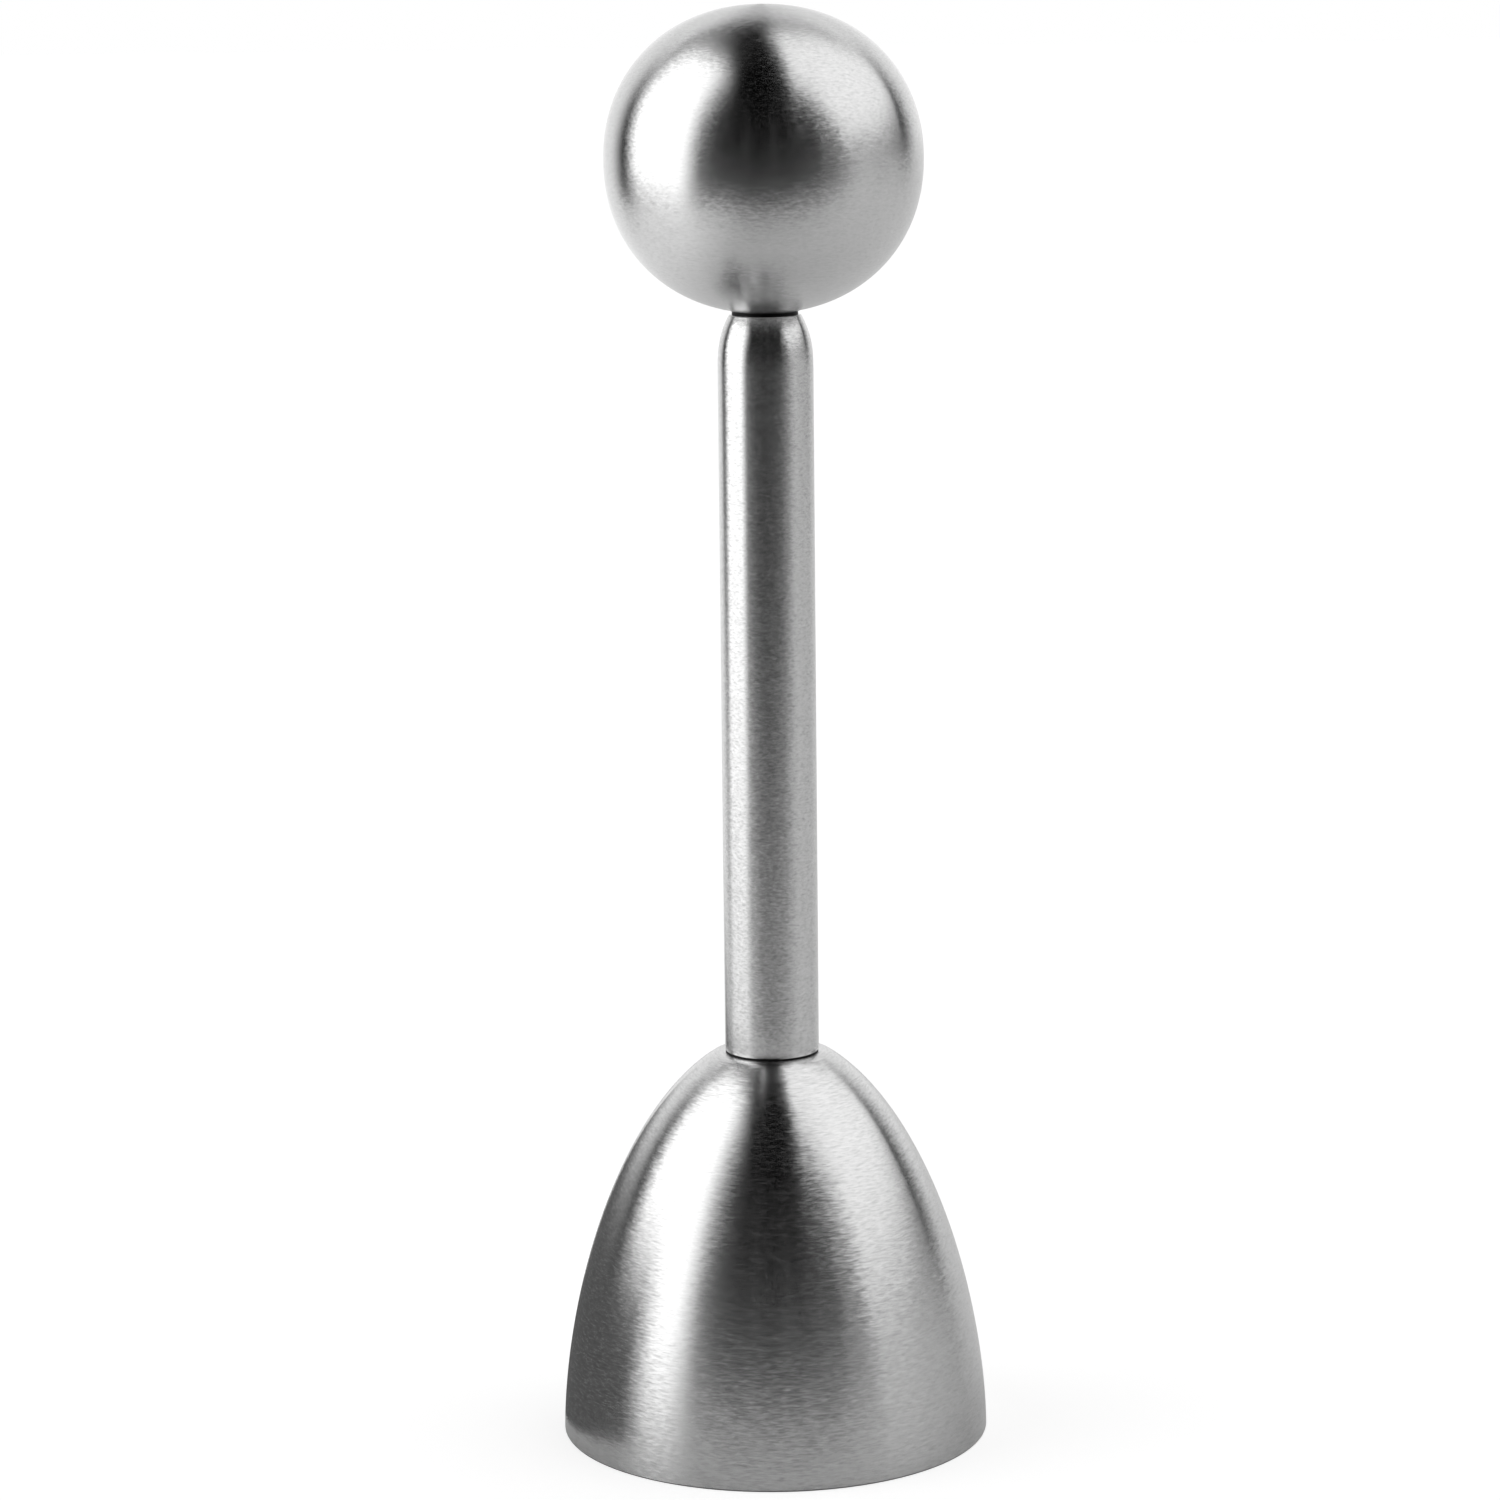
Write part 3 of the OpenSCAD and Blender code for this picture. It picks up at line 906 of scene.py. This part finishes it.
def ball_inside(v, turn):
    return ball_skin(v, size["Mouth"], size["Wall"] + v * 0)


def ball_spot_wall(v, turn):
    edge, height = ball_outside(v * 0, turn)
    return edge, height + (size["Face"] - height) * v


def ball_spot_face(v, turn):
    return size["Rim"] + (size["Mouth"] - size["Rim"]) * v, size["Face"] + v * 0


def ball_mouth(v, turn):
    edge, height = ball_inside(v * 0, turn)
    return size["Mouth"] + v * 0, size["Face"] + (height - size["Face"]) * v


finish_tree(tree, [
    turned(tree, ball_outside, along=200),
    turned(tree, ball_spot_wall),
    turned(tree, ball_spot_face),
    turned(tree, ball_mouth),
    turned(tree, ball_inside, along=60),
], brushed_ball)
ball = grow("ball", tree, {
    "Radius": ball_radius, "Half height": BALL_HALF, "Centre": ball_top - BALL_HALF,
    "Round": BALL_ROUND, "Wall": BALL_WALL, "Mouth": BALL_MOUTH, "Rim": COLLAR_RIM,
    "Face": ball_foot + COLLAR_RISE + COLLAR_SUNK,
})
join_frame(ball, "plunger", "brushed", "ball_lower_shell", "ball_upper_shell")

tree, size = geometry_tree(
    "ball_insert", "Foot", "Top", "Collar", "Rise", "Sunk", "Taper", "Body", "Hole", "Floor"
)


def collar_foot(v, turn):
    wide = size["Collar"] - size["Taper"]
    return size["Hole"] + (wide - size["Hole"]) * v, size["Foot"] + v * 0


def collar_side(v, turn):
    return size["Collar"] - size["Taper"] * (1 - v), size["Foot"] + size["Rise"] * v


def collar_wall(v, turn):
    return size["Collar"] + v * 0, size["Foot"] + size["Rise"] + size["Sunk"] * v


def collar_top(v, turn):
    radius, height = collar_wall(v * 0 + 1, turn)
    return radius + (size["Body"] - radius) * v, height


def insert_body(v, turn):
    low = size["Foot"] + size["Rise"] + size["Sunk"]
    return size["Body"] + v * 0, low + (size["Top"] - low) * v


def insert_top(v, turn):
    return size["Body"] * (1 - v), size["Top"] + v * 0


def insert_hole(v, turn):
    return size["Hole"] + v * 0, size["Foot"] + (size["Top"] - size["Floor"] - size["Foot"]) * v


def insert_end(v, turn):
    return size["Hole"] * (1 - v), size["Top"] - size["Floor"] + v * 0


insert_low, insert_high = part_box("ball_insert")
finish_tree(tree, [
    turned(tree, skin, around=128)
    for skin in (
        collar_foot, collar_side, collar_wall, collar_top,
        insert_body, insert_top, insert_hole, insert_end,
    )
], turned_steel)
insert = grow("ball_insert_skin", tree, {
    "Foot": insert_low.z, "Top": insert_high.z, "Collar": insert_high.x, "Rise": COLLAR_RISE,
    "Sunk": COLLAR_SUNK, "Taper": COLLAR_TAPER, "Body": INSERT_RADIUS, "Hole": INSERT_HOLE,
    "Floor": INSERT_FLOOR,
})
join_frame(insert, "plunger", "bright", "ball_insert")


# ---------------------------------------------------------------------------------------------
# The camera looks slightly down on the tool from the front, and leans a little, as in the
# photograph.

CAMERA_BACK = 413.6 * MM
CAMERA_UP = 139.1 * MM
CAMERA_SIDE = -1.73 * MM
CAMERA_PITCH = math.radians(10.38)
CAMERA_LEAN = math.radians(-0.6)
CAMERA_LENS = 111.79         # millimetres, on a frame 36 wide
CAMERA_FRAME = 36

camera = bpy.data.objects.new("camera", bpy.data.cameras.new("camera"))
bpy.context.collection.objects.link(camera)
bpy.context.scene.camera = camera
camera.data.lens = CAMERA_LENS
camera.data.sensor_width = CAMERA_FRAME
camera.data.clip_start = 10 * MM
camera.matrix_world = (
    Matrix.Translation((CAMERA_SIDE, -CAMERA_BACK, CAMERA_UP))
    @ Matrix.Rotation(math.pi / 2 - CAMERA_PITCH, 4, "X")
    @ Matrix.Rotation(CAMERA_LEAN, 4, "Z")
)


# ---------------------------------------------------------------------------------------------
# The table is painted a pale grey and stands in a dark room. The camera sees it white and endless,
# with the tool's shadow on it. The steel shows it as it is, with an end at the front and the left,
# and with a low dark card that stands close by on the left and that only reflections show. That
# card is a painted reflection: a dark sheet with a faint glow of its own, which casts no shadow.
# Both are placed for the dark bands of the photograph.

FLOOR_REACH = 4.0
FLOOR_PAINT = 0.35           # what the camera sees of the table: paint, which takes the shadow,
FLOOR_GLOW = 0.76            # and light of its own, which together make white
TABLE_PAINT = 0.76
TABLE_FRONT = -0.213
TABLE_FRONT_FADE = 0.061     # how soft its front edge is, to each side
TABLE_SLANT = 0.2            # how fast its front edge runs forward on the right
TABLE_LEFT = -0.382
TABLE_LEFT_FADE = 0.009
PAST_FRONT_GLOW = 0.006      # what little light comes from the floor in front of the table
SPILL_REACH = 0.2            # the softboxes' light on the table: over this distance it grows
SPILL_BACK = 0.04            # to this much at the back,
SPILL_RIGHT = 0.07           # to this much on the right,
SPILL_LEFT = 0.37            # and to this much on the left,
SPILL_LEFT_REACH = (0.024, 0.128)    # where it grows between these distances
CARD_FRONT = Vector((-30.5, -16.7, 21.1)) * MM    # its middle end points, and its height there
CARD_BACK = Vector((-27.5, 51.9, 35.7)) * MM
CARD_FADE = (0.08, 0.06)     # how soft its two ends are, as shares of its length
CARD_TOP_FADE = 9.8 * MM
CARD_FOOT = 10 * MM          # how far its foot reaches towards the tool
# the card's own faint glow: painted light, seen only in reflections
CARD_GLOW = 0.114

scene = bpy.context.scene
scene.view_settings.view_transform = "Standard"

floor_mesh = bpy.data.meshes.new("floor")
corners = [(x * FLOOR_REACH, y * FLOOR_REACH, 0) for x, y in ((-1, -1), (1, -1), (1, 1), (-1, 1))]
floor_mesh.from_pydata(corners, [], [(0, 1, 2, 3)])
floor = bpy.data.objects.new("floor", floor_mesh)
bpy.context.collection.objects.link(floor)

card_mesh = bpy.data.meshes.new("dark_reflection_card")
card_ends = [CARD_FRONT.lerp(CARD_BACK, share) for share in (-CARD_FADE[0], 1 + CARD_FADE[1])]
card_points = [(end.x, end.y, 0) for end in card_ends]
card_points += [(end.x, end.y, end.z + CARD_TOP_FADE) for end in card_ends[::-1]]
card_points += [(end.x + CARD_FOOT, end.y, MM) for end in card_ends]
card_mesh.from_pydata(card_points, [], [(0, 1, 2, 3), (0, 1, 5, 4)])
card = bpy.data.objects.new("dark_reflection_card", card_mesh)
bpy.context.collection.objects.link(card)
card.visible_camera = False
card.visible_diffuse = False
card.visible_shadow = False


def edge_fall(value, start, end):
    """0 below start, 1 above end, and a smooth change between them."""
    fall = value.tree.nodes.new("ShaderNodeMapRange")
    fall.interpolation_type = "SMOOTHSTEP"
    fall.inputs["From Min"].default_value = start
    fall.inputs["From Max"].default_value = end
    value.tree.links.new(value.socket, fall.inputs["Value"])
    return Quantity(value.tree, fall.outputs["Result"])


def mix_shader(tree, share, first, second):
    """A blend of two shaders: the first where share is 0, the second where it is 1."""
    mix = tree.nodes.new("ShaderNodeMixShader")
    tree.links.new(share.socket if isinstance(share, Quantity) else share, mix.inputs[0])
    tree.links.new(first, mix.inputs[1])
    tree.links.new(second, mix.inputs[2])
    return mix.outputs[0]


def glow(tree, strength):
    """Light of this strength, white."""
    shader = tree.nodes.new("ShaderNodeEmission")
    if isinstance(strength, Quantity):
        tree.links.new(strength.socket, shader.inputs["Strength"])
    else:
        shader.inputs["Strength"].default_value = strength
    return shader.outputs[0]


def paint(tree, tone):
    """Matt paint of this grey."""
    shader = tree.nodes.new("ShaderNodeBsdfDiffuse")
    shader.inputs["Color"].default_value = (tone, tone, tone, 1)
    return shader.outputs[0]


def both(tree, first, second):
    """Two shaders added together."""
    add = tree.nodes.new("ShaderNodeAddShader")
    tree.links.new(first, add.inputs[0])
    tree.links.new(second, add.inputs[1])
    return add.outputs[0]


table_top = bpy.data.materials.new("table_top")
table_top.use_nodes = True
tree = table_top.node_tree
tree.nodes.remove(tree.nodes["Principled BSDF"])
place = tree.nodes.new("ShaderNodeSeparateXYZ")
tree.links.new(tree.nodes.new("ShaderNodeTexCoord").outputs["Object"], place.inputs[0])
across, back = Quantity(tree, place.outputs["X"]), Quantity(tree, place.outputs["Y"])
spill = edge_fall(back, 0, SPILL_REACH) * SPILL_BACK
spill = spill + edge_fall(across, 0, SPILL_REACH) * SPILL_RIGHT
spill = spill + edge_fall(across * -1, *SPILL_LEFT_REACH) * SPILL_LEFT
table = both(tree, paint(tree, TABLE_PAINT), glow(tree, spill))
forward = back + across.at_least(0) * TABLE_SLANT
on_table = edge_fall(forward, TABLE_FRONT - TABLE_FRONT_FADE, TABLE_FRONT + TABLE_FRONT_FADE)
table = mix_shader(tree, on_table, glow(tree, PAST_FRONT_GLOW), table)
gap = tree.nodes.new("ShaderNodeBsdfTransparent").outputs[0]
on_table = edge_fall(across, TABLE_LEFT - TABLE_LEFT_FADE, TABLE_LEFT + TABLE_LEFT_FADE)
table = mix_shader(tree, on_table, gap, table)
seen_by_camera = tree.nodes.new("ShaderNodeLightPath").outputs["Is Camera Ray"]
white_floor = both(tree, paint(tree, FLOOR_PAINT), glow(tree, FLOOR_GLOW))
table = mix_shader(tree, seen_by_camera, table, white_floor)
tree.links.new(table, tree.nodes["Material Output"].inputs["Surface"])
floor_mesh.materials.append(table_top)

# The card's material is a painted reflection: a faint glow, faded out at its ends and top.
dark_reflection_card = bpy.data.materials.new("dark_reflection_card")
dark_reflection_card.use_nodes = True
tree = dark_reflection_card.node_tree
tree.nodes.remove(tree.nodes["Principled BSDF"])
place = tree.nodes.new("ShaderNodeSeparateXYZ")
tree.links.new(tree.nodes.new("ShaderNodeTexCoord").outputs["Object"], place.inputs[0])
along = (Quantity(tree, place.outputs["Y"]) - CARD_FRONT.y) / (CARD_BACK.y - CARD_FRONT.y)
over = Quantity(tree, place.outputs["Z"]) - along * (CARD_BACK.z - CARD_FRONT.z) - CARD_FRONT.z
solid = edge_fall(along, -CARD_FADE[0], CARD_FADE[0])
solid = solid * (1 - edge_fall(along, 1 - CARD_FADE[1], 1 + CARD_FADE[1]))
solid = solid * (1 - edge_fall(over, -CARD_TOP_FADE, CARD_TOP_FADE))
gap = tree.nodes.new("ShaderNodeBsdfTransparent").outputs[0]
faded_card = mix_shader(tree, solid, gap, glow(tree, CARD_GLOW))
tree.links.new(faded_card, tree.nodes["Material Output"].inputs["Surface"])
card_mesh.materials.append(dark_reflection_card)


# ---------------------------------------------------------------------------------------------
# The light comes from two large softboxes that lean in from left and right and from a white
# backdrop. The room behind the camera is dark, apart from two faint strips and the softboxes'
# glow on its walls. The camera itself sees white all round, and the steel doesn't.

# A softbox is aimed at by its four corners, each in degrees to the right of the camera and above
# level. The edge after each corner is so soft.
LEFT_CORNERS = ((-109, -9.5), (-56.6, -16.6), (-43.4, 64.8), (-125.7, 52.3))
LEFT_EDGES = (0.023, 0.2, 0.036, 0.174)
LEFT_LIGHT = 2.07
RIGHT_CORNERS = ((122.3, 15), (67.5, -10.9), (30.5, 55), (178, 68.3))
RIGHT_EDGES = (0.248, 0.06, 0.076, 0.037)
RIGHT_LIGHT = 1.358
RIGHT_LOW = 0.22             # share of its light that is left at its low end
RIGHT_LOW_REACH = (0, 0.35)  # heights between which the light grows to the whole

# The backdrop is flat and upright. Its edges fade between these slopes to the side and up.
BACKDROP_LEFT = (-1.65, -0.65)
BACKDROP_RIGHT = (0.534, 1.534)
BACKDROP_TOP = (1.123, 1.217)
BACKDROP_LIGHT = 0.99
BACKDROP_NEAR = 1e-4         # keeps the slopes finite beside the camera

# The walls' glow and the strips, between bearings in degrees and heights from 0 to 1.
LEFT_WALL = (35, 41)
LEFT_WALL_END = -100
LEFT_WALL_GLOW = 0.046
RIGHT_WALL = (41, 42)
RIGHT_WALL_TOP = (0.417, 0.972)
RIGHT_WALL_END = 110
RIGHT_WALL_GLOW = 0.128
STRIPS = (-12.5, 7)
STRIP_HALF = 4.8
STRIP_TOP = (0.206, 0.62)
STRIP_GLOW = 0.034
ROOM_GLOW = 0.001

studio = bpy.data.worlds.new("studio")
scene.world = studio
studio.use_nodes = True
tree = studio.node_tree
direction = tree.nodes.new("ShaderNodeTexCoord").outputs["Generated"]
compass = tree.nodes.new("ShaderNodeSeparateXYZ")
tree.links.new(direction, compass.inputs[0])
to_right, to_back, to_top = (Quantity(tree, compass.outputs[axis]) for axis in "XYZ")
bearing = calculate(tree, "ARCTAN2", to_right, to_back * -1) * (180 / math.pi)


def aim(turn, rise):
    """The direction at so many degrees to the right of the camera, and so many above level."""
    turn, rise = math.radians(turn), math.radians(rise)
    level = math.cos(rise)
    return Vector((math.sin(turn) * level, -math.cos(turn) * level, math.sin(rise)))


def softbox(corners, edges):
    """How much of a softbox is seen in a direction, from 0 to 1. The corners are aimed at as in
    aim(), and edges says how soft the edge after each corner is."""
    points = [aim(*corner) for corner in corners]
    middle = sum(points, Vector())
    cover = 1
    for start, end, soft in zip(points, points[1:] + points[:1], edges):
        side = start.cross(end).normalized()
        side *= math.copysign(1, side.dot(middle))
        inside = Quantity(tree, vector(tree, "DOT_PRODUCT", direction, side))
        cover = edge_fall(inside, -soft, soft) * cover
    return cover


left_box = softbox(LEFT_CORNERS, LEFT_EDGES) * LEFT_LIGHT
right_box = softbox(RIGHT_CORNERS, RIGHT_EDGES) * RIGHT_LIGHT
right_box = right_box * (edge_fall(to_top, *RIGHT_LOW_REACH) * (1 - RIGHT_LOW) + RIGHT_LOW)
flat_x = to_right / to_back.at_least(BACKDROP_NEAR)
flat_z = to_top / to_back.at_least(BACKDROP_NEAR)
backdrop = edge_fall(flat_x, *BACKDROP_LEFT) * (1 - edge_fall(flat_x, *BACKDROP_RIGHT))
backdrop = backdrop * (1 - edge_fall(flat_z, *BACKDROP_TOP)) * to_back.above(0) * BACKDROP_LIGHT
left_glow = edge_fall(bearing * -1, *LEFT_WALL) * bearing.above(LEFT_WALL_END) * LEFT_WALL_GLOW
right_glow = edge_fall(bearing, *RIGHT_WALL) * (1 - edge_fall(to_top, *RIGHT_WALL_TOP))
right_glow = right_glow * (1 - bearing.above(RIGHT_WALL_END)) * RIGHT_WALL_GLOW
strips = to_right * 0
for middle in STRIPS:
    off_middle = calculate(tree, "ABSOLUTE", bearing - middle)
    strips = strips + edge_fall(STRIP_HALF - off_middle, 0, STRIP_HALF)
room_light = strips * (1 - edge_fall(to_top, *STRIP_TOP)) * STRIP_GLOW + ROOM_GLOW
light = left_box.at_least(right_box).at_least(backdrop)
light = light.at_least(left_glow).at_least(right_glow).at_least(room_light)
room = tree.nodes["Background"]
room.inputs["Color"].default_value = (1, 1, 1, 1)
tree.links.new(light.socket, room.inputs["Strength"])
white = tree.nodes.new("ShaderNodeBackground")
white.inputs["Color"].default_value = (1, 1, 1, 1)
seen_by_camera = tree.nodes.new("ShaderNodeLightPath").outputs["Is Camera Ray"]
view = mix_shader(tree, seen_by_camera, room.outputs[0], white.outputs[0])
tree.links.new(view, tree.nodes["World Output"].inputs["Surface"])
